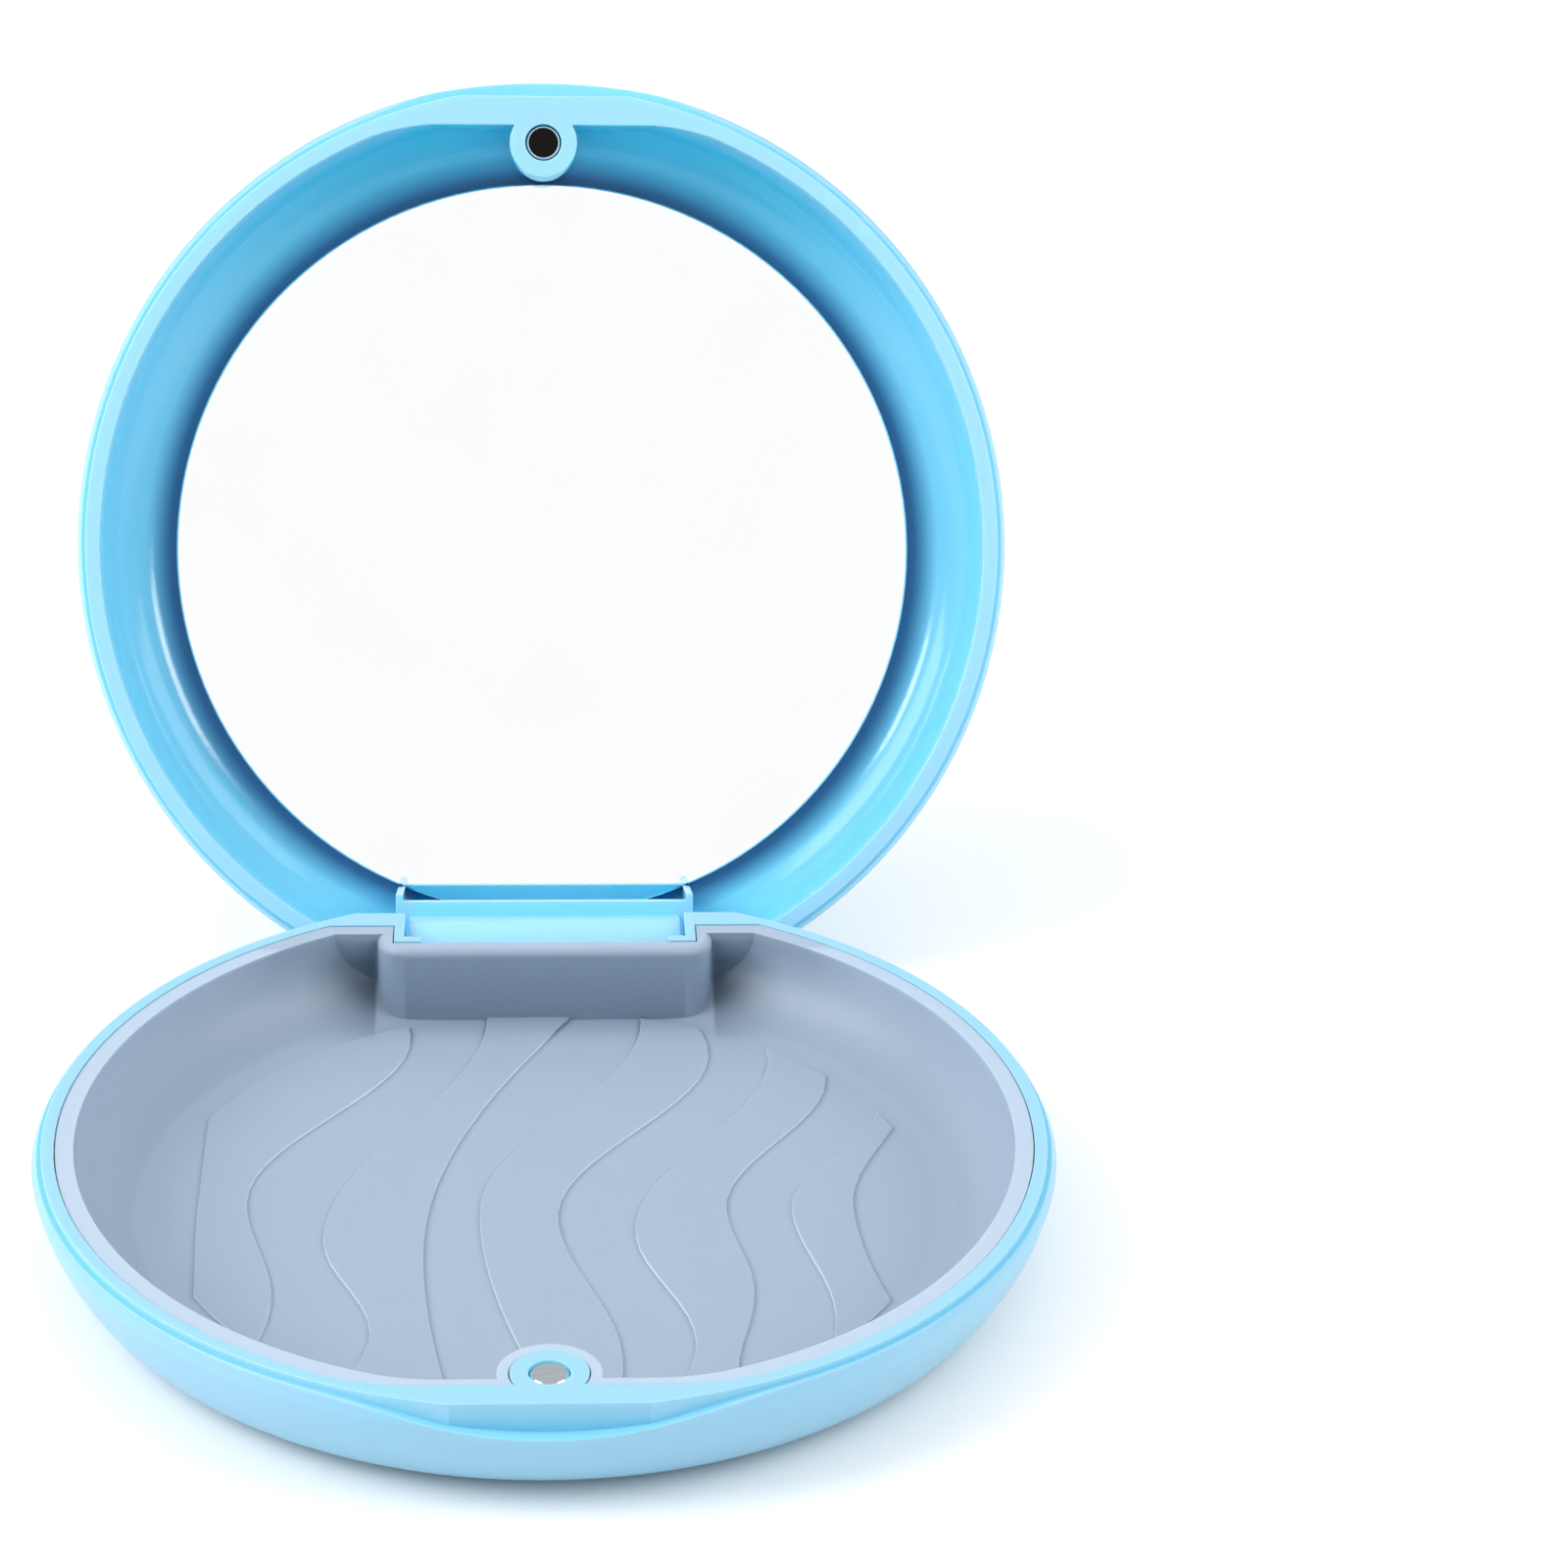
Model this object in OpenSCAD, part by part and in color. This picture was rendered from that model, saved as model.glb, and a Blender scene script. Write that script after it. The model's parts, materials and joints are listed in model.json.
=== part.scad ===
// Round denture case: a pan with a soft tray in it, and a mirror lid on a rear hinge,
// held shut by a pair of disc magnets at the front. It stands open.
// The origin is the centre of the foot, +Z is up and the hinge is at +Y.
// "Depth" is measured from a shell's rim plane towards its flat end.

/* [Outline] */
// Largest radius of both shells
body_r = 42.5; // [41.5:0.5:46]
// Step between the body and the rim band
rim_inset = 0.8; // [0.4:0.1:1]
// Height of the rim band
rim_band_h = 0.55; // [0.3:0.05:0.8]
// Width of the soft shoulder under the rim band
shoulder_w = 0.4; // [0.2:0.1:0.6]
// Height of the soft shoulder
shoulder_h = 0.75; // [0.4:0.05:1]
// How far the rim band's rear flat is cut back
rear_flat_cut = 3.7; // [3.2:0.1:4.2]
// How far the body's rear flat stands behind the rim band's
rear_flat_step = 0.5; // [0.3:0.1:0.8]
// How far the rim band's front flat is cut back
front_flat_cut = 0.7; // [0.4:0.1:1]
// Radius of the rims' inner corners beside the front flat
front_round = 20; // [10:1:24]
// Gap between the two rims in the closed case
seam_gap = 0.2; // [0.1:0.05:0.4]

/* [Thumb recess] */
// Half the width of the recess in each shell
recess_half_w = 19; // [16:0.5:22]
// Depth of the recess's wave below the rim band
recess_drop = 2; // [1:0.1:2.4]

/* [Base shell] */
// Wall and floor of the base shell
base_t = 1.4; // [1:0.1:1.6]
// Radius of the base's side, seen in section
base_side_r = 14.4; // [13:0.2:18]
// Slope of the base's side at its top, in degrees
base_side_top = 10; // [6:1:12]
// Slope of the base's side where it turns under, in degrees
base_side_end = 36; // [33:1:38]
// Width of the base's rim
base_rim_w = 1.05; // [0.9:0.05:1.2]
// Thickness of the rear wall that holds the hinge pin
rear_wall_t = 2.8; // [2.6:0.1:3]
// Thickness of the front wall behind the recess
front_wall_t = 2.6; // [2.2:0.1:3]

/* [Tray] */
// Depth of the tray's floor below its rim
tray_depth = 7.2; // [6.5:0.1:7.8]
// Floor thickness of the tray
tray_floor_t = 1.3; // [1:0.1:1.6]
// Width of the tray's rim
tray_rim_w = 1.5; // [1.2:0.1:1.8]
// Gap between the tray and the base shell
tray_gap = 0.1; // [0.05:0.05:0.2]
// Radius of the bowl between the tray's wall and floor
tray_bowl_r = 6.8; // [5:0.2:7]
// Wall of the tray round the hinge block
block_wall_t = 1.4; // [1.2:0.1:1.6]
// Corner radius of the tray's hinge block
block_corner_r = 2.5; // [1:0.1:3]
// Roundness of the block's top edge
block_top_r = 0.9; // [0.4:0.1:0.9]
// Wall of the tray round the front magnet post and along the front flat
post_wall_t = 0.9; // [0.7:0.1:1.1]
// Height of the raised waves on the tray's floor
wave_h = 0.25; // [0.2:0.05:0.5]
// Bare floor left between the waves and the bowl
wave_margin = 0.2; // [0.1:0.1:1]

/* [Lid shell] */
// Height of the lid from its rim plane
lid_h = 11.2; // [11:0.2:13]
// Floor thickness of the lid
lid_floor_t = 1.25; // [1:0.05:1.4]
// Radius of the lid's side, seen in section
lid_side_r = 22; // [20:0.5:24]
// Slope of the lid's side at its rim, in degrees
lid_side_top = 6; // [4:1:7]
// Slope of the lid's side where it turns over, in degrees
lid_side_end = 24; // [22:1:26]
// Width of the lid's rim
lid_rim_w = 1.3; // [1.1:0.05:1.5]
// Radius between the lid's inner wall and its floor
lid_bowl_r = 5.5; // [4.8:0.1:5.8]
// Thickness of the lid's rear wall
lid_rear_t = 1.5; // [1.2:0.1:1.8]

/* [Mirror] */
// Width of the bare floor round the mirror
mirror_margin = 0.8; // [0.8:0.1:3]
// Thickness of the mirror glass
mirror_t = 1; // [0.8:0.1:1.2]
// Polished bevel round the mirror's face
mirror_bevel = 0.15; // [0.05:0.05:0.3]
// How far the mirror sits behind the case's axis
mirror_y = 0.5; // [0.5:0.1:0.7]
// How far the adhesive pad stays inside the mirror's edge
pad_margin = 1.1; // [0.5:0.1:4]
// Thickness of the adhesive pad
pad_t = 0.15; // [0.1:0.05:0.3]
// Free gap round and over the mirror
mirror_gap = 0.15; // [0.1:0.05:0.15]

/* [Hinge] */
// Distance from the rim band's rear flat to the hinge axis
hinge_inset = 0.9; // [0.8:0.05:1.2]
// Depth of the hinge axis below the base's rim
hinge_depth = 4; // [3.8:0.1:4.2]
// Radius of the hinge pin
pin_r = 0.75; // [0.6:0.05:0.8]
// Length of the pin in each cheek
pin_seat = 1.75; // [1.5:0.05:2.2]
// Running gap between the pin and the knuckle's bore
pin_gap = 0.05; // [0.03:0.01:0.08]
// Half the length of the knuckle
knuckle_half_w = 12.3; // [11:0.1:13]
// Radius of the knuckle's rounded front
knuckle_r = 3.3; // [3:0.1:3.3]
// Radius of the knuckle's hub behind the pin
hub_r = 1.6; // [1.45:0.05:1.6]
// How far the knuckle's underside stays in front of the pin
knuckle_cut_y = 0.85; // [0.6:0.05:1.2]
// Free gap at the knuckle's ends
end_gap = 0.35; // [0.3:0.05:0.5]
// Free gap round the knuckle
knuckle_gap = 0.3; // [0.2:0.05:0.3]
// Wall of the base's pocket round the knuckle
pocket_wall_t = 0.9; // [0.7:0.1:1.1]
// How far the high ends of the pocket's front wall reach in front of the knuckle
sill_end = 1.2; // [0.5:0.1:3]
// How far the middle of that wall lies below the rim
sill_drop = 0.6; // [0.3:0.1:1]
// Gap at the open stop
stop_gap = 0.1; // [0.05:0.05:0.2]
// Angle at which the lid stands open
open_angle = 112; // [100:1:118]

/* [Hinge plate] */
// How far the plate stands in front of the knuckle's neck
plate_lip = 1.3; // [1.2:0.1:2]
// How far the plate reaches past the pocket at each end
plate_side = 1; // [0.7:0.1:1.5]
// Thickness of the plate
plate_t = 1.6; // [1.2:0.1:2]
// Thickness of the ribs at the plate's ends
rib_t = 0.65; // [0.5:0.05:0.9]
// How far the ribs stand in front of the plate
rib_out = 0.65; // [0.3:0.05:0.8]

/* [Clasp] */
// Distance from the front flat to the magnets' axis
magnet_inset = 4.2; // [4:0.1:4.6]
// Radius of each magnet
magnet_r = 1.5; // [1.2:0.05:1.6]
// Height of each magnet
magnet_h = 2.5; // [2:0.1:3]
// Gap round a magnet
magnet_gap = 0.15; // [0.1:0.01:0.2]
// How far the base's magnet lies below the rim
base_magnet_sink = 0.1; // [0.05:0.05:0.3]
// How far the lid's magnet lies below the rim
lid_magnet_sink = 0.3; // [0.1:0.05:0.5]
// Radius of the post round each magnet
post_r = 3.05; // [2.6:0.05:3.05]

/* [Hidden] */
$fn = 96;

shell_colour = "#93d6f3";
tray_colour = "#aebfd2";
steel_colour = "#c8c8c8";
mirror_colour = "#f2f5f7";
magnet_colour = "#4a4a4c";
pad_colour = "#e6e6e0";

cut = 1;                                   // how far a cutting tool passes a face
wide = 2*body_r;                           // half-size of a block that spans the case
corner_pass = 0.05;                        // how far a round corner's arc passes the walls that it joins
core_below = 0.45;                         // how far the drum inside a shell reaches below the recess
rim_r = body_r - rim_inset;
shoulder_d = rim_band_h + shoulder_h;      // depth at which the body reaches its full radius
base_h = tray_depth + tray_gap + tray_floor_t + base_t;
rear_flat_y = rim_r - rear_flat_cut;
body_flat_y = rear_flat_y + rear_flat_step;
front_flat_y = rim_r - front_flat_cut;
front_y = front_flat_y - front_wall_t;     // inside of both shells' front walls
core_d = rim_band_h + recess_drop + core_below;  // depth of the drum that closes the recess
lid_z = base_h + seam_gap;                 // height of the closed lid's rim plane

base_inner_y = body_flat_y - rear_wall_t;
base_inner_r = rim_r - base_rim_w;
tray_out_r = base_inner_r - tray_gap;
tray_in_r = tray_out_r - tray_rim_w;
tray_rear_y = base_inner_y - tray_gap - block_wall_t;
tray_front_y = front_y - post_wall_t;
tray_floor_z = base_t + tray_floor_t;

lid_inner_r = rim_r - lid_rim_w;
lid_inner_d = lid_h - lid_floor_t;
lid_inner_y = rear_flat_y - lid_rear_t;

hinge_y = rear_flat_y - hinge_inset;
hinge_z = base_h - hinge_depth;
pocket_half_w = knuckle_half_w + end_gap;
pocket_y = hinge_y - knuckle_r - knuckle_gap;        // inside of the pocket's front wall
pocket_out_y = pocket_y - pocket_wall_t;             // outside of the pocket's front wall
pocket_out_half_w = pocket_half_w + pocket_wall_t;
block_y = pocket_out_y - tray_gap - block_wall_t;    // front face of the tray's block
block_half_w = pocket_out_half_w + tray_gap + block_wall_t;
sill_half_w = knuckle_half_w - sill_end;
pin_half_l = pocket_half_w + pin_seat;
plate_y = hinge_y - knuckle_r - plate_lip;
plate_half_w = pocket_half_w + plate_side;

mirror_r = lid_inner_r - lid_bowl_r - mirror_margin;
mirror_front_d = lid_inner_d - pad_t - mirror_t;
pad_r = mirror_r - pad_margin;
magnet_y = front_flat_y - magnet_inset;
magnet_hole_r = magnet_r + magnet_gap;

// The waves. Two lines bound each raised band. Of each line: the place in X and in Y where it
// turns, how far it swings out behind that and over what length, and the same in front of it.
waves = [
    [[-29.1, 0, 0, 35, 0.6, 20], [-25.1, 0.4, 13.1, 27, 2.8, 16]],
    [[-18.5, -5.9, 13.3, 37, 4.3, 14.6], [-10.2, -7.5, 31.9, 90, 8, 60]],
    [[-5.6, -1.8, 14.2, 32, 12.5, 60], [0.9, -2.7, 13.6, 27.6, 5, 22]],
    [[7.3, -5.2, 12.5, 29.2, 4.5, 16.7], [15, -1.7, 9.7, 22, 1.8, 12.4]],
    [[20.5, -1.8, 8.3, 16.2, 2.7, 16], [25.7, -1.6, 6.4, 21.4, 33, 90]]
];
wave_steps = 16;                           // steps of a line from the case's axis to its end
wave_reach = tray_in_r - tray_bowl_r - wave_margin;

function swing(run, size, length) = size/2*(1 - cos(180*run/length));
function wave_x(line, y) = line[0] + (y > line[1] ? swing(y - line[1], line[2], line[3])
                                                  : swing(line[1] - y, line[4], line[5]));
function wave_point(line, y) = [wave_x(line, y), y];
function wave_points(line) =
    [for (i = [-wave_steps : wave_steps]) wave_point(line, wave_reach*i/wave_steps)];
function backward(points) = [for (i = [len(points) - 1 : -1 : 0]) points[i]];

// Centres of the two arcs of a shell's side, in (radius, depth)
function side_centre(side_r, top) = [body_r - side_r*cos(top), shoulder_d - side_r*sin(top)];
function knee(side_r, top, end) = side_centre(side_r, top) + side_r*[cos(end), sin(end)];
function corner_r(h, side_r, top, end) = (h - knee(side_r, top, end).y)/(1 - sin(end));
function corner_centre(h, side_r, top, end) =
    knee(side_r, top, end) - corner_r(h, side_r, top, end)*[cos(end), sin(end)];

// Half section of a shell of height h, t inside its skin, from depth from_d down
module shell_section(h, side_r, top, end, t, from_d) {
    side_c = side_centre(side_r, top);
    corner_c = corner_centre(h, side_r, top, end);
    knee_d = corner_c.y + (corner_r(h, side_r, top, end) - t)*sin(end);
    translate([0, from_d])
        square([corner_c.x, h - t - from_d]);
    intersection() {
        translate(side_c)
            circle(r = side_r - t);
        translate([corner_c.x, from_d])
            square([body_r, knee_d - from_d]);
    }
    intersection() {
        translate(corner_c)
            circle(r = corner_r(h, side_r, top, end) - t);
        translate([corner_c.x, knee_d])
            square([body_r, h]);
    }
}

module base_section(t, from_d) {
    shell_section(base_h, base_side_r, base_side_top, base_side_end, t, from_d);
}

module lid_section() {
    shell_section(lid_h, lid_side_r, lid_side_top, lid_side_end, 0, shoulder_d);
}

// Depth curve of the thumb recess: three arcs that meet smoothly
module recess_face() {
    turn = 2*atan(recess_drop/recess_half_w);
    arc_r = recess_half_w/(2*sin(turn));
    low = rim_band_h + recess_drop;
    intersection() {
        translate([0, low - arc_r])
            circle(r = arc_r);
        translate([-recess_half_w/2, 0])
            square([recess_half_w, low + cut]);
    }
    for (s = [-1, 1])
        difference() {
            translate([s*recess_half_w*3/4 - recess_half_w/4, 0])
                square([recess_half_w/2, rim_band_h + recess_drop/2]);
            translate([s*recess_half_w, rim_band_h + arc_r])
                circle(r = arc_r);
        }
}

// Turns a half section about Z. The start of the turn faces the hinge, where the flats cut it.
module revolve() {
    rotate([0, 0, 90])
        rotate_extrude()
            children();
}

// Solid outside of a shell, rim plane at z = 0 and flat end at z = h
module shell_outside() {
    difference() {
        intersection() {
            revolve() {
                children();
                polygon([[0, rim_band_h], [body_r - shoulder_w, rim_band_h],
                         [body_r, shoulder_d], [0, shoulder_d]]);
            }
            translate([-wide, -wide, 0])
                cube([2*wide, wide + body_flat_y, wide]);
        }
        translate([0, -rim_r/2, 0])
            rotate([90, 0, 0])
                linear_extrude(height = rim_r)
                    recess_face();
    }
    intersection() {
        cylinder(r = rim_r, h = core_d);
        translate([-wide, -front_flat_y, 0])
            cube([2*wide, front_flat_y + rear_flat_y, core_d]);
    }
}

// Turns a shell that is drawn with its rim plane at z = 0 over, so that its rim lies at rim_z.
// All shells are alike to the left and right, so half a turn about Y does this.
module turned_over(rim_z) {
    translate([0, 0, rim_z])
        rotate([0, 180, 0])
            children();
}

// Places a piece of the lid, drawn with its rim plane at z = 0, on the open lid
module as_lid() {
    translate([0, hinge_y, hinge_z])
        rotate([-open_angle, 0, 0])
            translate([0, -hinge_y, lid_z - hinge_z])
                children();
}

// A bar along X with the section drawn as (y, z) from the hinge axis
module hinge_bar(half_w) {
    translate([-half_w, 0, 0])
        rotate([90, 0, 90])
            linear_extrude(height = 2*half_w)
                children();
}

// Fills the corners between a round wall and its front flat, so that they are round inside
module front_corners(wall_r, flat_y, round_r) {
    arm = wall_r - round_r;
    touching = [sqrt(pow(arm, 2) - pow(flat_y - round_r, 2)), round_r - flat_y];
    mid = touching*(arm + corner_pass)/arm;
    out = touching*(wall_r + cut)/arm;
    for (s = [-1, 1])
        translate([0, 0, -cut])
            linear_extrude(height = lid_h + 2*cut)
                difference() {
                    polygon([[s*mid.x, mid.y], [s*mid.x, -flat_y - cut],
                             [s*out.x, -flat_y - cut], [s*out.x, out.y]]);
                    translate([s*mid.x, mid.y])
                        circle(r = round_r);
                }
}

// Hollow of the base shell, before the pocket and the post are left standing
module base_hollow() {
    difference() {
        intersection() {
            revolve()
                intersection() {
                    base_section(base_t, -cut);
                    translate([0, -cut])
                        square([base_inner_r, base_h + cut]);
                }
            translate([-wide, -front_y, -cut])
                cube([2*wide, front_y + base_inner_y, base_h + cut]);
        }
        front_corners(base_inner_r, front_y, front_round);
    }
}

module pocket_block() {
    translate([-pocket_out_half_w, pocket_out_y, -cut])
        cube([2*pocket_out_half_w, body_r, base_h + 2*cut]);
}

module front_post(r) {
    translate([0, -magnet_y, -cut])
        cylinder(r = r, h = base_h + 2*cut);
}

// Room for the knuckle in the base, drawn about the hinge axis
module pocket_face() {
    floor_z = -knuckle_r - knuckle_gap;
    back = -knuckle_cut_y + knuckle_gap;
    stop = [cos(open_angle), -sin(open_angle)];
    stop_d = hinge_inset + stop_gap;
    out = body_r - hinge_y;
    translate([pocket_y - hinge_y, floor_z])
        square([back - pocket_y + hinge_y, hinge_depth + cut - floor_z]);
    circle(r = hub_r + knuckle_gap);
    polygon([[back, (stop_d - stop.x*back)/stop.y], [out, (stop_d - stop.x*out)/stop.y],
             [out, hinge_depth + cut], [back, hinge_depth + cut]]);
}

module base_shell() {
    color(shell_colour)
        difference() {
            turned_over(base_h)
                shell_outside()
                    base_section(0, shoulder_d);
            difference() {
                turned_over(base_h)
                    base_hollow();
                pocket_block();
                front_post(post_r);
            }
            translate([0, hinge_y, hinge_z])
                hinge_bar(pocket_half_w)
                    pocket_face();
            translate([-sill_half_w, pocket_out_y - cut, base_h - sill_drop])
                cube([2*sill_half_w, pocket_wall_t + 2*cut, sill_drop + cut]);
            translate([-pin_half_l, hinge_y, hinge_z])
                rotate([0, 90, 0])
                    cylinder(r = pin_r, h = pin_half_l + body_r);
            translate([0, -magnet_y, base_h - base_magnet_sink - magnet_h])
                cylinder(r = magnet_hole_r, h = magnet_h + cut);
        }
}

// Inside of the tray, from its floor up
module tray_hollow() {
    bowl_c = tray_in_r - tray_bowl_r;
    top = tray_depth + cut;
    difference() {
        intersection() {
            translate([0, 0, tray_floor_z])
                revolve() {
                    square([bowl_c, top]);
                    translate([bowl_c, tray_bowl_r])
                        square([tray_bowl_r, top - tray_bowl_r]);
                    intersection() {
                        translate([bowl_c, tray_bowl_r])
                            circle(r = tray_bowl_r);
                        translate([bowl_c, -cut])
                            square([tray_bowl_r + cut, tray_bowl_r + cut]);
                    }
                }
            translate([-wide, -tray_front_y, 0])
                cube([2*wide, tray_front_y + tray_rear_y, base_h + cut]);
        }
        hinge_block();
        front_post(post_r + tray_gap + post_wall_t);
        front_corners(tray_in_r, tray_front_y, front_round - tray_gap - post_wall_t);
    }
}

// Section of the block's outermost part, with the round top edge and the face at +X
module block_edge() {
    round_z = base_h - tray_gap - block_top_r + corner_pass;
    square([block_top_r, round_z]);
    intersection() {
        translate([0, round_z])
            circle(r = block_top_r);
        square([block_top_r + cut, base_h + cut]);
    }
}

// The tray's block round the hinge pocket, with round front corners and a round top edge
module hinge_block() {
    corner_x = block_half_w - block_corner_r;
    corner_y = block_y + block_corner_r;
    inner_r = block_corner_r - block_top_r;
    translate([-corner_x - inner_r, corner_y, 0])
        cube([2*(corner_x + inner_r), body_r, base_h]);
    translate([-corner_x, corner_y - inner_r, 0])
        cube([2*corner_x, body_r, base_h]);
    translate([corner_x, corner_y - inner_r, 0])
        rotate([90, 0, -90])
            linear_extrude(height = 2*corner_x)
                block_edge();
    translate([corner_x + inner_r, corner_y + body_r, 0])
        rotate([90, 0, 0])
            linear_extrude(height = body_r)
                block_edge();
    translate([-corner_x - inner_r, corner_y, 0])
        rotate([90, 0, 180])
            linear_extrude(height = body_r)
                block_edge();
    for (s = [-1, 1])
        intersection() {
            translate([s*corner_x, corner_y, 0])
                rotate_extrude() {
                    square([inner_r, base_h]);
                    translate([inner_r, 0])
                        block_edge();
                }
            translate([s*(corner_x + block_corner_r) - block_corner_r, corner_y - body_r, 0])
                cube([2*block_corner_r, body_r, base_h]);
        }
}

module wave_band(lines) {
    linear_extrude(height = tray_floor_t/2 + wave_h)
        polygon(concat(wave_points(lines[0]), backward(wave_points(lines[1]))));
}

module tray_waves() {
    difference() {
        intersection() {
            translate([0, 0, tray_floor_z - tray_floor_t/2])
                for (lines = waves)
                    wave_band(lines);
            cylinder(r = wave_reach, h = base_h);
            translate([-wide, -wide, 0])
                cube([2*wide, wide + block_y + block_wall_t/2, base_h]);
        }
        front_post(post_r + tray_gap + post_wall_t/2);
    }
}

module liner_tray() {
    color(tray_colour) {
        difference() {
            intersection() {
                turned_over(base_h - tray_gap)
                    revolve()
                        intersection() {
                            base_section(base_t + tray_gap, 0);
                            square([tray_out_r, base_h]);
                        }
                translate([-wide, tray_gap - front_y, 0])
                    cube([2*wide, front_y + base_inner_y - 2*tray_gap, base_h]);
            }
            tray_hollow();
            pocket_room();
            front_post(post_r + tray_gap);
            front_corners(tray_out_r, front_y - tray_gap, front_round - tray_gap);
        }
        tray_waves();
    }
}

// The pocket block with the tray's gap round it
module pocket_room() {
    half_w = pocket_out_half_w + tray_gap;
    translate([-half_w, pocket_out_y - tray_gap, -cut])
        cube([2*half_w, body_r, base_h + 2*cut]);
}

module disc_magnet() {
    cylinder(r = magnet_r, h = magnet_h);
}

module base_magnet() {
    color(steel_colour)
        translate([0, -magnet_y, base_h - base_magnet_sink - magnet_h])
            disc_magnet();
}

module hinge_pin() {
    color(steel_colour)
        translate([-pin_half_l, hinge_y, hinge_z])
            rotate([0, 90, 0])
                cylinder(r = pin_r, h = 2*pin_half_l);
}

// Room for the mirror and everything over it, so that ribs and post stay clear
module mirror_room() {
    translate([0, mirror_y, mirror_front_d - mirror_gap])
        cylinder(r = mirror_r + mirror_gap, h = mirror_gap + mirror_t + pad_t);
}

module lid_hollow() {
    bowl_c = lid_inner_r - lid_bowl_r;
    bowl_d = lid_inner_d - lid_bowl_r;
    difference() {
        intersection() {
            revolve() {
                translate([0, -cut])
                    square([bowl_c, lid_inner_d + cut]);
                translate([bowl_c, -cut])
                    square([lid_bowl_r, bowl_d + cut]);
                intersection() {
                    translate([bowl_c, bowl_d])
                        circle(r = lid_bowl_r);
                    translate([bowl_c, bowl_d])
                        square([lid_bowl_r + cut, lid_bowl_r + cut]);
                }
            }
            translate([-wide, -front_y, -cut])
                cube([2*wide, front_y + lid_inner_y, lid_h]);
        }
        front_corners(lid_inner_r, front_y, front_round);
    }
}

// Plate across the lid's rear, with a rib down to the floor at each end
module hinge_plate() {
    translate([-plate_half_w, plate_y, 0])
        cube([2*plate_half_w, rear_flat_y - plate_y, plate_t]);
    intersection() {
        for (s = [-1, 1])
            translate([s*(plate_half_w - rib_t/2) - rib_t/2, plate_y - rib_out, 0])
                cube([rib_t, rear_flat_y - plate_y + rib_out, lid_inner_d + lid_floor_t/2]);
        shell_outside()
            lid_section();
    }
}

// The knuckle and its neck, drawn about the hinge axis in the closed lid
module knuckle_face() {
    rim_up = lid_z - hinge_z;
    intersection() {
        circle(r = knuckle_r);
        translate([-knuckle_r - cut, -knuckle_r - cut])
            square([knuckle_r + cut - knuckle_cut_y, knuckle_r + cut]);
    }
    circle(r = hub_r);
    translate([-knuckle_r, 0])
        square([knuckle_r + hinge_inset, rim_up + plate_t]);
}

module lid_shell() {
    color(shell_colour)
        as_lid()
            difference() {
                union() {
                    difference() {
                        shell_outside()
                            lid_section();
                        difference() {
                            lid_hollow();
                            translate([0, -magnet_y, -2*cut])
                                cylinder(r = post_r, h = lid_h + 2*cut);
                        }
                    }
                    hinge_plate();
                    translate([0, hinge_y, hinge_z - lid_z])
                        hinge_bar(knuckle_half_w)
                            knuckle_face();
                }
                mirror_room();
                translate([0, hinge_y, hinge_z - lid_z])
                    rotate([0, 90, 0])
                        cylinder(r = pin_r + pin_gap, h = 2*knuckle_half_w + 2*cut, center = true);
                translate([0, -magnet_y, -cut])
                    cylinder(r = magnet_hole_r, h = cut + lid_magnet_sink + magnet_h);
            }
}

module mirror_glass() {
    color(mirror_colour)
        as_lid()
            translate([0, mirror_y, mirror_front_d]) {
                translate([0, 0, mirror_bevel])
                    cylinder(r = mirror_r, h = mirror_t - mirror_bevel);
                cylinder(r1 = mirror_r - mirror_bevel, r2 = mirror_r, h = mirror_bevel);
            }
}

module mirror_pad() {
    color(pad_colour)
        as_lid()
            translate([0, mirror_y, mirror_front_d + mirror_t])
                cylinder(r = pad_r, h = pad_t);
}

module lid_magnet() {
    color(magnet_colour)
        as_lid()
            translate([0, -magnet_y, lid_magnet_sink])
                disc_magnet();
}

base_shell();
liner_tray();
base_magnet();
hinge_pin();
lid_shell();
mirror_glass();
mirror_pad();
lid_magnet();
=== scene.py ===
"""Looks of the denture case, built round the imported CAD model."""
import json
import math

import bmesh
import bpy
from mathutils import Matrix, Vector

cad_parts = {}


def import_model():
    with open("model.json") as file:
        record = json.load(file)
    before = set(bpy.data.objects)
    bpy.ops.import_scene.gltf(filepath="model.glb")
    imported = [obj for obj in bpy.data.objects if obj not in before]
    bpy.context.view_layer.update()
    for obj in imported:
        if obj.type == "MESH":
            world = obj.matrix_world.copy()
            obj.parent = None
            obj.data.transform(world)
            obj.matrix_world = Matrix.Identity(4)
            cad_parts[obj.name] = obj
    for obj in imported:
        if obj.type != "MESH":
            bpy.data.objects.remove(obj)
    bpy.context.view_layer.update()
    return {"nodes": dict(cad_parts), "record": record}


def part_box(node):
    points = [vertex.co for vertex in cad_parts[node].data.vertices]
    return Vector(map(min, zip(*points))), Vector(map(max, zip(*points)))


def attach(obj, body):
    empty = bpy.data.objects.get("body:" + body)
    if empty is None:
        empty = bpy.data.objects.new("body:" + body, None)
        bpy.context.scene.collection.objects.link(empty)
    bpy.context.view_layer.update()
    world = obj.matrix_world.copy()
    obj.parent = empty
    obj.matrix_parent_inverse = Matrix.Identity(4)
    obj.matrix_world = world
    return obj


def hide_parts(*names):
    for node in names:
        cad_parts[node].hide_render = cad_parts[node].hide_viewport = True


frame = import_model()
NODES = frame["nodes"]

MM = 0.001
UP = Vector((0, 0, 1))
OPEN_ANGLE = math.radians(frame["record"]["behaviour"]["joints"][0]["range_deg"][1])
# The way the mirror faces on the open lid, and the middle of the mirror
MIRROR_FACE = Vector((0, -math.sin(OPEN_ANGLE), -math.cos(OPEN_ANGLE)))
MIRROR_MID = sum(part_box("mirror_glass"), Vector())/2


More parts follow.
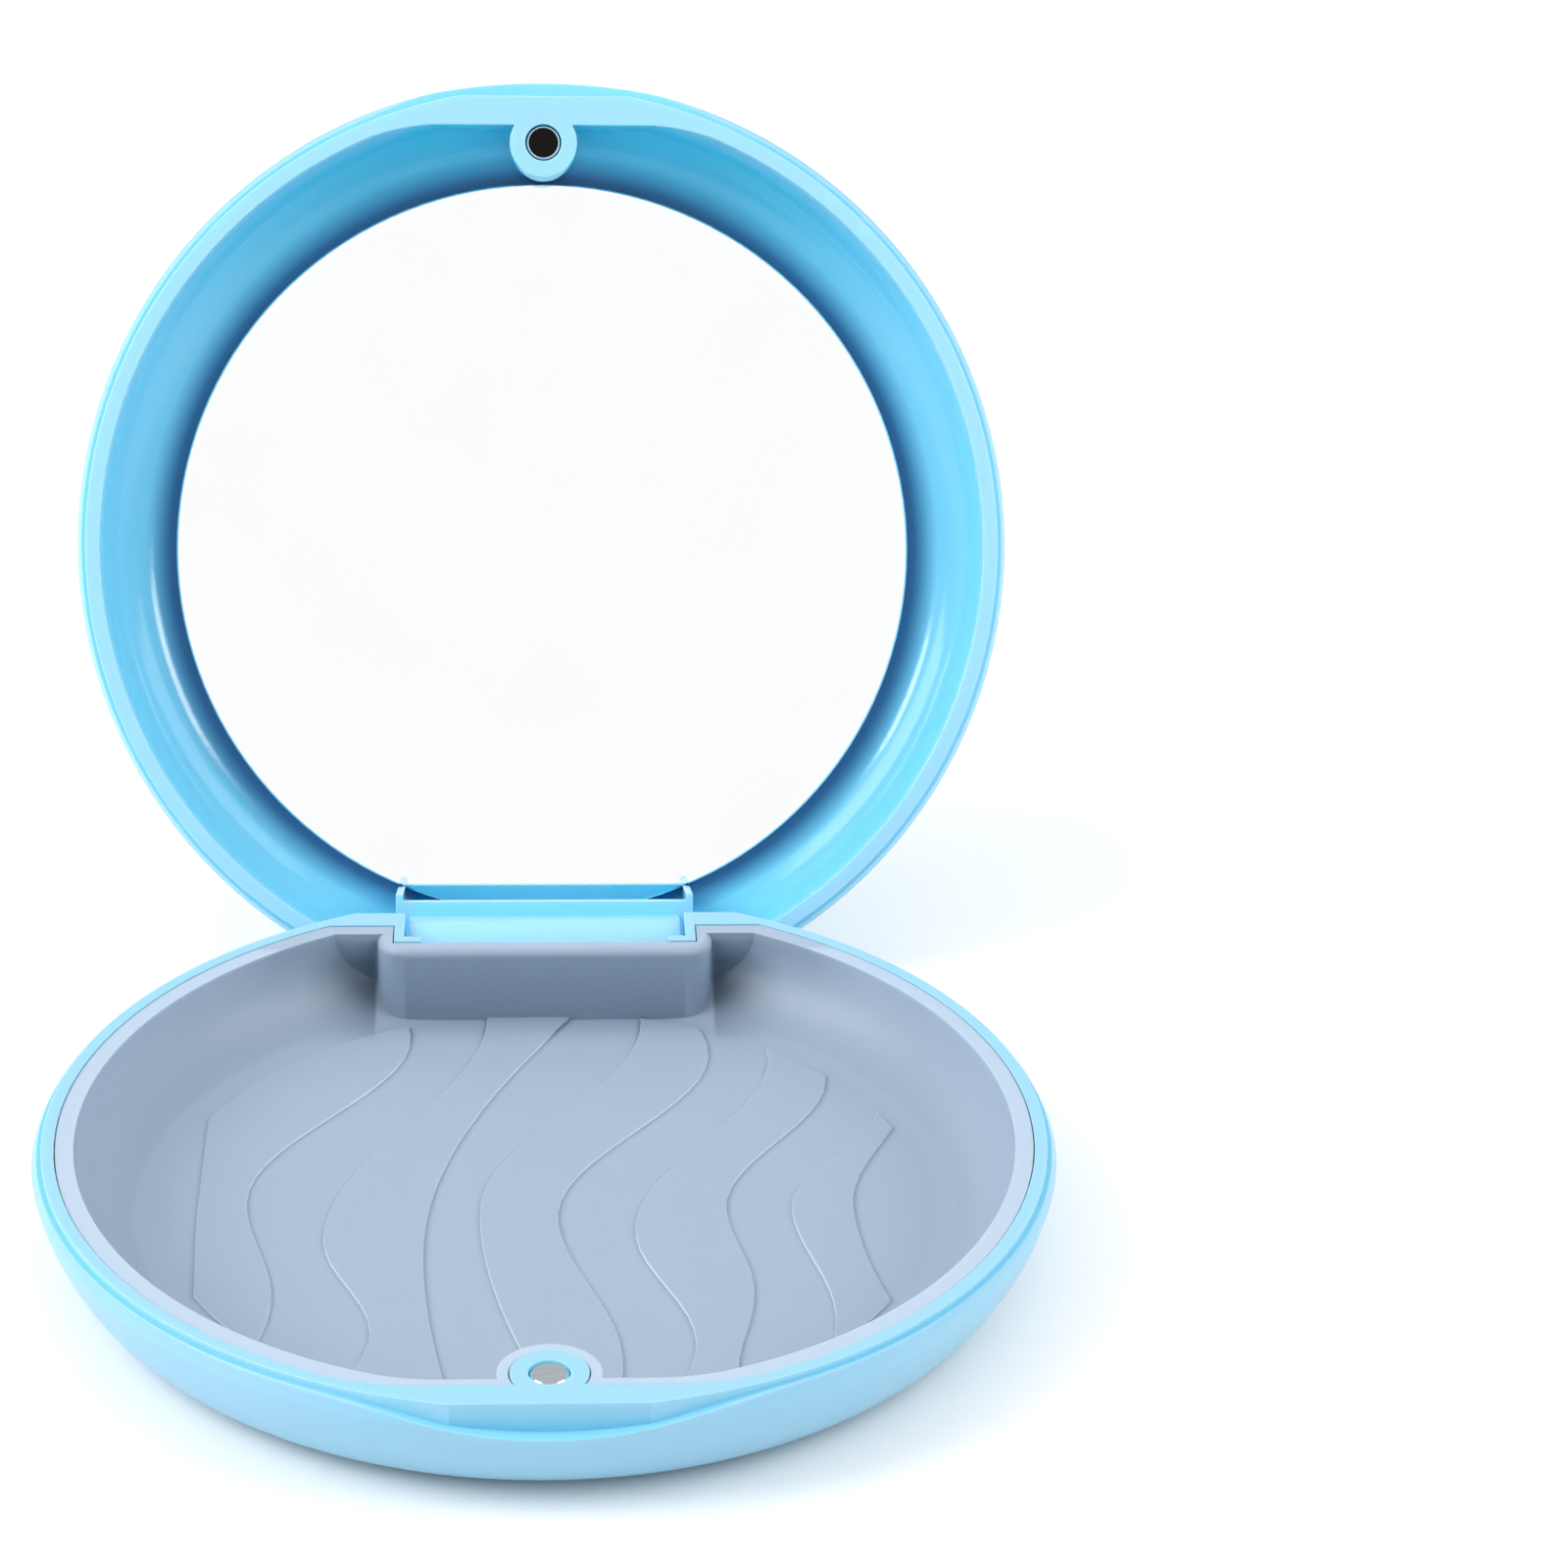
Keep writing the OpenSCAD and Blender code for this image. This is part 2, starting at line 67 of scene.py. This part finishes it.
# ---------------------------------------------------------------- node trees

def srgb(r, g, b):
    """A screen colour from 0 to 255, as linear light."""
    def linear(v):
        v = v/255
        return v/12.92 if v <= 0.04045 else ((v + 0.055)/1.055)**2.4
    return (linear(r), linear(g), linear(b), 1)


class Tree:
    """Short ways to build a node tree."""

    def __init__(self, tree):
        self.tree = tree

    def add(self, kind, inputs=None, **settings):
        node = self.tree.nodes.new(kind)
        for key, value in settings.items():
            setattr(node, key, value)
        for key, value in (inputs or {}).items():
            self.put(node.inputs[key], value)
        return node

    def put(self, socket, value):
        if isinstance(value, bpy.types.NodeSocket):
            self.tree.links.new(value, socket)
        else:
            socket.default_value = value

    def noise(self, where, scale, detail=2.0, rough=0.5):
        node = self.add("ShaderNodeTexNoise", {"Vector": where, "Scale": scale,
                                               "Detail": detail, "Roughness": rough})
        return node.outputs["Fac"]

    def ramp(self, value, low, high, to_low=0, to_high=1):
        node = self.add("ShaderNodeMapRange", {"Value": value, "From Min": low, "From Max": high,
                                               "To Min": to_low, "To Max": to_high})
        return node.outputs["Result"]

    def steps(self, value, stops):
        node = self.add("ShaderNodeValToRGB", {"Fac": value})
        ramp = node.color_ramp
        while len(ramp.elements) < len(stops):
            ramp.elements.new(0.5)
        for element, (place, colour) in zip(ramp.elements, stops):
            element.position = place
            element.color = colour
        return node.outputs["Color"]

    def mix(self, factor, a, b):
        # Sockets 0, 6 and 7 are the factor and the two colours
        node = self.add("ShaderNodeMix", {0: factor, 6: a, 7: b}, data_type="RGBA")
        return node.outputs[2]

    def math(self, operation, *values):
        node = self.add("ShaderNodeMath", dict(enumerate(values)), operation=operation)
        return node.outputs[0]

    def plus(self, a, b):
        return self.math("ADD", a, b)

    def times(self, a, b):
        return self.math("MULTIPLY", a, b)

    def dot(self, a, b):
        node = self.add("ShaderNodeVectorMath", {0: a, 1: b}, operation="DOT_PRODUCT")
        return node.outputs["Value"]

    def length(self, a):
        return self.add("ShaderNodeVectorMath", {0: a}, operation="LENGTH").outputs["Value"]

    def minus(self, a, b):
        node = self.add("ShaderNodeVectorMath", {0: a, 1: b}, operation="SUBTRACT")
        return node.outputs[0]

    def scaled(self, a, factor):
        node = self.add("ShaderNodeVectorMath", {0: a, "Scale": factor}, operation="SCALE")
        return node.outputs[0]

    def split(self, vector):
        return self.add("ShaderNodeSeparateXYZ", {0: vector}).outputs


class Material(Tree):
    """A material with its shader, and the place and normal in the piece's own frame."""

    def __init__(self, name):
        self.material = bpy.data.materials.new(name)
        self.material.use_nodes = True
        super().__init__(self.material.node_tree)
        self.shader = self.tree.nodes["Principled BSDF"]
        own = self.add("ShaderNodeTexCoord").outputs
        self.place, self.normal = own["Object"], own["Normal"]

    def set(self, **inputs):
        for key, value in inputs.items():
            self.put(self.shader.inputs[key.replace("_", " ")], value)

    def bump(self, height, strength, distance, **inputs):
        node = self.add("ShaderNodeBump", {"Height": height, "Strength": strength,
                                           "Distance": distance, **inputs})
        self.set(Normal=node.outputs[0])


# ---------------------------------------------------------------- materials

# The middle part of a noise's values, where nearly all of them lie
NOISE_LOW, NOISE_HIGH = 0.3, 0.7
# Noise scales for plastic, in cells per metre
DRIFT_SCALE, FLOW_SCALE, GRAIN_SCALE = 45.0, 260.0, 4200.0
HOLLOW_REACH = 11*MM
EDGE_RADIUS = 0.16*MM
RAYS = 4
DRIFT_DEPTH = 0.015
EDGE_HIGHLIGHT_GAIN = 0.75
ROUGH_RANGE = 0.06
FLOW_HEIGHT = 0.06
POLISH_GAIN = 0.16
BUMP_STRENGTH = 0.15


def plastic(name, stops, highlight_colour, rough, grain, sss, shade=None):
    """Moulded plastic: slow colour drift, painted shade in hollows, painted highlights on edges,
    fine grain. The stops give the colour by how open the place is, from 0 in a slot to 1 on a free
    face, so they paint shade and bounce light into hollows. `shade`, if given, paints more light
    and shade into the colour by zone and says where the plastic is more polished."""
    m = Material(name)
    drift = m.noise(m.place, DRIFT_SCALE, 3.0)
    fine = m.noise(m.place, GRAIN_SCALE, 2.0, 0.6)
    flow = m.noise(m.place, FLOW_SCALE, 3.0)
    hollow = m.add("ShaderNodeAmbientOcclusion", {"Distance": HOLLOW_REACH},
                   samples=RAYS, only_local=True)
    open_sky = hollow.outputs["AO"]
    edge = m.add("ShaderNodeBevel", {"Radius": EDGE_RADIUS}, samples=RAYS).outputs[0]
    flat = m.add("ShaderNodeNewGeometry").outputs["Normal"]
    # Painted highlight: rounded edges on open faces are painted paler, as if light caught them
    rounded = m.ramp(m.dot(edge, flat), 0.97, 0.8)
    edge_highlight = m.times(rounded, m.ramp(open_sky, 0.55, 0.85, 0, EDGE_HIGHLIGHT_GAIN))
    # Painted shade: the colour follows how open the place is, plus a slow random drift in tone
    depth = m.plus(open_sky, m.ramp(drift, NOISE_LOW, NOISE_HIGH, -DRIFT_DEPTH, DRIFT_DEPTH))
    colour, polish = m.steps(depth, stops), 0.0
    if shade:
        colour, polish = shade(m, colour)
    dull = m.ramp(drift, 0, 1, rough - ROUGH_RANGE, rough + ROUGH_RANGE)
    m.set(Base_Color=m.mix(edge_highlight, colour, highlight_colour),
          Roughness=m.math("SUBTRACT", dull, m.times(polish, POLISH_GAIN)),
          IOR=1.49, Specular_IOR_Level=0.35,
          Subsurface_Weight=sss, Subsurface_Radius=(0.5, 0.9, 1.0), Subsurface_Scale=1.5*MM)
    height = m.plus(m.times(fine, grain), m.times(flow, FLOW_HEIGHT))
    m.bump(height, BUMP_STRENGTH, 0.05*MM, Normal=edge)
    return m.material


def lid_shade(m, colour):
    """Painted shade inside the lid: the blue is painted deeper on the inner wall, more so on the
    wall by the clasp, and a painted shadow rings the mirror's edge.
    """
    from_mid = m.minus(m.place, MIRROR_MID)
    height = m.dot(from_mid, MIRROR_FACE)
    flat = m.minus(from_mid, m.scaled(MIRROR_FACE, height))
    radius = m.length(flat)
    outward = m.dot(m.normal, flat)
    # The inner wall and the floor round the mirror, but not the lid's outer corner
    above_floor = m.ramp(height, -1.3*MM, -0.9*MM)
    below_rim = m.ramp(height, 7.5*MM, 9*MM, 1, 0)
    in_wall = m.ramp(radius, 40.3*MM, 41*MM, 1, 0)
    facing_in = m.ramp(outward, 4*MM, 8*MM, 1, 0)
    inside = m.times(m.times(m.times(above_floor, below_rim), in_wall), facing_in)
    # Painted shade: the inner wall and the floor round the mirror are painted a deeper blue
    colour = m.mix(m.times(inside, 0.35), colour, srgb(66, 200, 228))
    # Painted shade on the wall by the clasp, the wall that faces down
    clasp_wall_shade = m.ramp(m.dot(flat, UP), 18*MM, 36*MM, 0, 0.85)
    colour = m.mix(m.times(inside, clasp_wall_shade), colour, srgb(52, 192, 228))
    # Painted shadow: a deep blue ring at the foot of the wall round the mirror
    mirror_ring_shadow = m.times(m.ramp(radius, 34.8*MM, 37.0*MM, 1, 0), m.ramp(height, 1*MM, 3.5*MM, 1, 0))
    return m.mix(m.times(inside, mirror_ring_shadow), colour, srgb(0, 116, 172)), inside


def tray_shade(m, colour):
    """Painted light and shade on the tray: one even tone on the floor, painted shade on the low
    wall, on and round its hinge block, and painted light on the waves' flanks.
    """
    parts = m.split(m.place)
    height, back = parts["Z"], parts["Y"]
    aside = m.math("ABSOLUTE", parts["X"])
    floor_zone = m.times(m.ramp(height, 3*MM, 3.1*MM, 1, 0), m.ramp(back, 26*MM, 29*MM, 1, 0))
    colour = m.mix(floor_zone, colour, srgb(170, 187, 205))
    # Painted shade: the wall is painted darker towards its foot
    wall_foot_shade = m.ramp(height, 3.2*MM, 9.2*MM, 0.6, 0)
    colour = m.mix(wall_foot_shade, colour, srgb(132, 146, 164))
    # Painted shade on the front face of the hinge block, where the open lid shades it
    facing_front = m.ramp(m.dot(m.normal, (0, -1, 0)), 0.5, 0.95)
    block_face_shade = m.times(facing_front, m.ramp(back, 26*MM, 31*MM, 0, 0.6))
    colour = m.mix(block_face_shade, colour, srgb(114, 138, 160))
    # Painted shade on the block's top
    block_top_shade = m.times(m.ramp(back, 30.9*MM, 31.5*MM, 0, 0.6), m.ramp(height, 8.9*MM, 9.4*MM))
    colour = m.mix(block_top_shade, colour, srgb(146, 162, 180))
    # Painted shadow on each side of the block, which starts at the block's side
    pocket_shadow = m.times(m.ramp(aside, 16*MM, 22*MM, 1, 0), m.ramp(back, 27*MM, 33*MM))
    pocket_shadow = m.times(pocket_shadow, m.times(m.ramp(height, 7*MM, 9.4*MM, 0.68, 0),
                                     m.ramp(aside, 15.1*MM, 15.4*MM)))
    colour = m.mix(pocket_shadow, colour, srgb(40, 60, 82))
    # Painted light: the waves' steep flanks are painted lighter, to lift them out of shade
    flank_light = m.times(m.ramp(m.dot(m.normal, UP), 0.95, 0.6, 0, 0.9), floor_zone)
    return m.mix(flank_light, colour, srgb(214, 223, 234)), 0.0


def brushed(name, colour, dull, rough, turn, stretch):
    """Metal with fine lines, turned about Z and stretched by cells per metre along each axis."""
    m = Material(name)
    turned = m.add("ShaderNodeMapping", {"Vector": m.place, "Rotation": (0, 0, turn),
                                         "Scale": stretch})
    lines = m.noise(turned.outputs[0], 1.0, 3.0, 0.7)
    m.set(Base_Color=m.mix(m.ramp(lines, NOISE_LOW, NOISE_HIGH), colour, dull),
          Roughness=m.ramp(lines, NOISE_LOW, NOISE_HIGH, rough, rough + 0.15), Metallic=1.0)
    m.bump(lines, BUMP_STRENGTH, 0.02*MM)
    return m.material


def mirror_material(name):
    """Silvered glass: a clear silver face and a dark cut edge, painted near black so that it also
    stands for the shadow in the gap round the mirror.
    """
    m = Material(name)
    smudge = m.noise(m.place, 60.0, 4.0)
    side = m.ramp(m.dot(m.normal, MIRROR_FACE), 0.6, 0.3)
    clear, dim, edge_and_gap_shadow = (0.98, 0.985, 0.99, 1), (0.965, 0.975, 0.98, 1), (0.012, 0.016, 0.018, 1)
    face = m.mix(m.ramp(smudge, NOISE_LOW, NOISE_HIGH), clear, dim)
    m.set(Base_Color=m.mix(side, face, edge_and_gap_shadow),
          Roughness=m.plus(m.ramp(smudge, 0.4, 0.8, 0.01, 0.03), m.times(side, 0.15)),
          Metallic=1.0)
    return m.material


def gloss_black(name):
    """The dark face of the lid's magnet, finely scratched."""
    m = Material(name)
    scratch = m.noise(m.place, 3000.0, 3.0)
    m.set(Base_Color=m.mix(scratch, (0.004, 0.003, 0.003, 1), (0.008, 0.007, 0.006, 1)),
          Roughness=m.ramp(scratch, NOISE_LOW, NOISE_HIGH, 0.18, 0.3), Specular_IOR_Level=0.06)
    return m.material


# The slot and hollow blues are painted shade and bounce light; the last blue is a painted edge
# highlight
SLOT_SHADE_BLUE, HOLLOW_SHADE_BLUE, EDGE_HIGHLIGHT_BLUE = srgb(122, 216, 246), srgb(142, 206, 238), srgb(190, 238, 252)
BASE_SHADE_STOPS = [(0.3, SLOT_SHADE_BLUE), (0.6, HOLLOW_SHADE_BLUE),
              (0.8, srgb(116, 196, 224)), (1.0, srgb(146, 196, 222))]
LID_SHADE_STOPS = [(0.3, SLOT_SHADE_BLUE), (0.6, HOLLOW_SHADE_BLUE),
             (0.8, srgb(126, 208, 238)), (1.0, srgb(152, 208, 236))]
TRAY_SHADE_STOPS = [(0.45, srgb(84, 106, 130)), (0.8, srgb(164, 181, 200)), (1.0, srgb(172, 189, 207))]
PAD_SHADE_STOPS = [(0.3, srgb(150, 150, 145)), (0.9, srgb(225, 225, 220))]

# The third colour of each plastic is its painted edge highlight
MATERIAL_OF_NODE = {
    "base_shell": plastic("base_blue", BASE_SHADE_STOPS, EDGE_HIGHLIGHT_BLUE, rough=0.34, grain=0.5, sss=0.3),
    "lid_shell": plastic("lid_blue", LID_SHADE_STOPS, EDGE_HIGHLIGHT_BLUE, rough=0.3, grain=0.5, sss=0.3,
                         shade=lid_shade),
    "liner_tray": plastic("tray_grey", TRAY_SHADE_STOPS, srgb(192, 206, 222), rough=0.42, grain=0.4,
                          sss=0.2, shade=tray_shade),
    "hinge_pin": brushed("pin_steel", (0.62, 0.62, 0.63, 1), (0.42, 0.42, 0.42, 1), rough=0.3,
                         turn=0, stretch=(200, 3000, 3000)),
    "mirror_glass": mirror_material("mirror_silver"),
    "mirror_pad": plastic("pad_white", PAD_SHADE_STOPS, srgb(230, 230, 225), rough=0.7, grain=0.6,
                          sss=0.0),
}
for node, material in MATERIAL_OF_NODE.items():
    NODES[node].data.materials.clear()
    NODES[node].data.materials.append(material)


# ---------------------------------------------------------------- magnets

def lathe(name, profile, materials, place, way, segments=96):
    """Turns (radius, height, material index) points about the axis `way` through `place`.
    Each stretch of the profile has the material of the point where it starts."""
    bm = bmesh.new()
    rings = []
    for radius, height, _ in profile:
        if radius == 0:
            rings.append([bm.verts.new((0, 0, height))]*segments)
        else:
            rings.append([bm.verts.new((radius*math.cos(2*math.pi*i/segments),
                                        radius*math.sin(2*math.pi*i/segments), height))
                          for i in range(segments)])
    for (low, high), (_, _, index) in zip(zip(rings, rings[1:]), profile):
        for i in range(segments):
            j = (i + 1) % segments
            corners = [low[i], low[j], high[j], high[i]]
            # A ring of radius 0 is one point, so its faces are triangles
            corners = [v for n, v in enumerate(corners) if v not in corners[:n]]
            bm.faces.new(corners).material_index = index
    bmesh.ops.recalc_face_normals(bm, faces=bm.faces)
    mesh = bpy.data.meshes.new(name)
    bm.to_mesh(mesh)
    bm.free()
    for material in materials:
        mesh.materials.append(material)
    obj = bpy.data.objects.new(name, mesh)
    bpy.context.scene.collection.objects.link(obj)
    turned = Vector(way).to_track_quat("Z", "Y").to_matrix().to_4x4()
    mesh.transform(Matrix.Translation(place) @ turned)
    return obj


def magnet_profile(radius, height, chamfer, lip):
    """From the hidden end at 0 up to the face at `height`, with or without a bright lip round
    the face."""
    lip_edge = [(radius - chamfer, height, 0)] if lip else []
    return [(0, 0, 0), (radius - chamfer, 0, 0), (radius, chamfer, 0),
            (radius, height - chamfer, 0), *lip_edge,
            (radius - chamfer - lip, height, 1), (0, height, 1)]


def magnets():
    """The clasp's two discs, of the same size and in the same place as their solids."""
    radius, height = 1.5*MM, 2.5*MM
    nickel = brushed("magnet_nickel", (1.0, 0.97, 0.92, 1), (0.76, 0.73, 0.68, 1), rough=0.3,
                     turn=0.75, stretch=(500, 6000, 3000))
    chrome = brushed("magnet_chrome", (0.9, 0.9, 0.9, 1), (0.8, 0.8, 0.8, 1), rough=0.1,
                     turn=0, stretch=(2000, 2000, 2000))
    black = gloss_black("magnet_black")
    middle = sum(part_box("base_magnet"), Vector())/2
    base = lathe("base_magnet_disc", magnet_profile(radius, height, 0.12*MM, 0),
                 [chrome, nickel], middle - UP*height/2, UP)
    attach(base, "base")
    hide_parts("base_magnet")
    middle = sum(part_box("lid_magnet"), Vector())/2
    lid = lathe("lid_magnet_disc", magnet_profile(radius, height, 0.1*MM, 0.04*MM),
                [chrome, black], middle - MIRROR_FACE*height/2, MIRROR_FACE)
    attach(lid, "lid")
    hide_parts("lid_magnet")


magnets()


# ---------------------------------------------------------------- soft edges on the CAD pieces

def soften(obj, width):
    """Small rounded edges, as moulds leave them."""
    weld = obj.modifiers.new("weld", "WELD")
    weld.merge_threshold = 0.002*MM
    bevel = obj.modifiers.new("soft_edges", "BEVEL")
    bevel.width = width
    bevel.segments = 2
    bevel.limit_method = "ANGLE"
    bevel.angle_limit = math.radians(40)


for node, width in {"base_shell": 0.15, "lid_shell": 0.15, "liner_tray": 0.2}.items():
    soften(NODES[node], width*MM)


# ---------------------------------------------------------------- stage, camera and light

def floor():
    """A wide plain sheet that the case stands on."""
    size = 3.0
    mesh = bpy.data.meshes.new("floor")
    corners = [(-size, -size, 0), (size, -size, 0), (size, size, 0), (-size, size, 0)]
    mesh.from_pydata(corners, [], [(0, 1, 2, 3)])
    obj = bpy.data.objects.new("floor", mesh)
    bpy.context.scene.collection.objects.link(obj)
    m = Material("floor_white")
    cloud = m.noise(m.place, 3.0, 2.0)
    m.set(Base_Color=m.mix(cloud, (0.93, 0.93, 0.93, 1), (0.90, 0.90, 0.90, 1)), Roughness=0.9)
    mesh.materials.append(m.material)


def camera():
    """The photo's camera, fitted to the case's round edges."""
    place = Vector((-1.74683, -322.40393, 200.05747))*MM
    turn, tilt, roll = 0.06435, 0.45584, 0.02642
    focal_px, width_px, sensor = 4562.936, 1600, 36.0
    ahead = Vector((math.sin(turn)*math.cos(tilt), math.cos(turn)*math.cos(tilt),
                    -math.sin(tilt)))
    right = Vector((math.cos(turn), -math.sin(turn), 0))
    up = right.cross(ahead)
    right, up = (right*math.cos(roll) + up*math.sin(roll),
                 up*math.cos(roll) - right*math.sin(roll))
    data = bpy.data.cameras.new("photo_camera")
    data.sensor_width = sensor
    data.sensor_fit = "HORIZONTAL"
    data.lens = focal_px/width_px*sensor
    data.clip_start = 0.01
    data.dof.use_dof = False
    obj = bpy.data.objects.new("photo_camera", data)
    bpy.context.scene.collection.objects.link(obj)
    turned = Matrix((right, up, -ahead)).transposed()
    obj.matrix_world = Matrix.Translation(place) @ turned.to_4x4()
    bpy.context.scene.camera = obj


def softbox(name, place, aim, size, watts, gloss_only=False):
    """A rectangular lamp at `place` that points at `aim`."""
    data = bpy.data.lights.new(name, "AREA")
    data.shape = "RECTANGLE"
    data.size, data.size_y = size
    data.energy = watts
    obj = bpy.data.objects.new(name, data)
    bpy.context.scene.collection.objects.link(obj)
    obj.visible_diffuse = not gloss_only
    way = Vector(aim) - Vector(place)
    turned = way.to_track_quat("-Z", "Y").to_matrix().to_4x4()
    obj.matrix_world = Matrix.Translation(place) @ turned


def world(top, sides, front, below):
    """A tent of soft light: brightest overhead, dimmer in front and below. Gloss and the mirror
    show a white card that stands in front, and the camera sees white."""
    card_way, card_edge, card_full = (0, -0.96, 0.28), 0.8, 0.92
    gloss_dim, gloss_card = 0.4, 1.0
    studio = bpy.data.worlds.new("studio")
    studio.use_nodes = True
    t = Tree(studio.node_tree)
    where = t.add("ShaderNodeTexCoord").outputs["Generated"]
    parts = t.split(where)
    rise = t.ramp(parts["Z"], 0.1, 0.9, 0, top - sides)
    fall = t.ramp(parts["Z"], -0.15, 0.1, below - sides, 0)
    near = t.ramp(parts["Y"], -0.1, -0.8, 0, front - sides)
    tent = t.math("MAXIMUM", t.plus(t.plus(t.plus(rise, fall), near), sides), 0.0)
    card = t.ramp(t.dot(where, card_way), card_edge, card_full, gloss_dim, gloss_card)
    ray = t.add("ShaderNodeLightPath").outputs
    light = t.ramp(ray["Is Glossy Ray"], 0, 1, tent, card)
    back = t.tree.nodes["Background"]
    t.put(back.inputs["Color"], t.math("MAXIMUM", light, ray["Is Camera Ray"]))
    bpy.context.scene.world = studio


floor()
camera()
world(top=1.05, sides=0.85, front=0.55, below=0.15)
CASE_MID = (0, 0, 0.03)
softbox("left_light", (-0.55, -0.1, 0.45), CASE_MID, size=(0.35, 0.5), watts=3.4)
softbox("right_light", (0.55, -0.1, 0.45), CASE_MID, size=(0.35, 0.5), watts=1.9)
# Two small lamps in front give the streaks on the low left and right of the lid's inner wall
LID_MID, GLINT_REACH = Vector((0, 0.05, 0.04)), 0.6
GLINTS = {"left_glint": (0.45, -0.768, 0.455), "right_glint": (-0.60, -0.625, 0.50)}
for name, way in GLINTS.items():
    softbox(name, LID_MID + Vector(way)*GLINT_REACH, LID_MID, size=(0.11, 0.13), watts=0.9,
            gloss_only=True)
bpy.context.scene.view_settings.view_transform = "Standard"
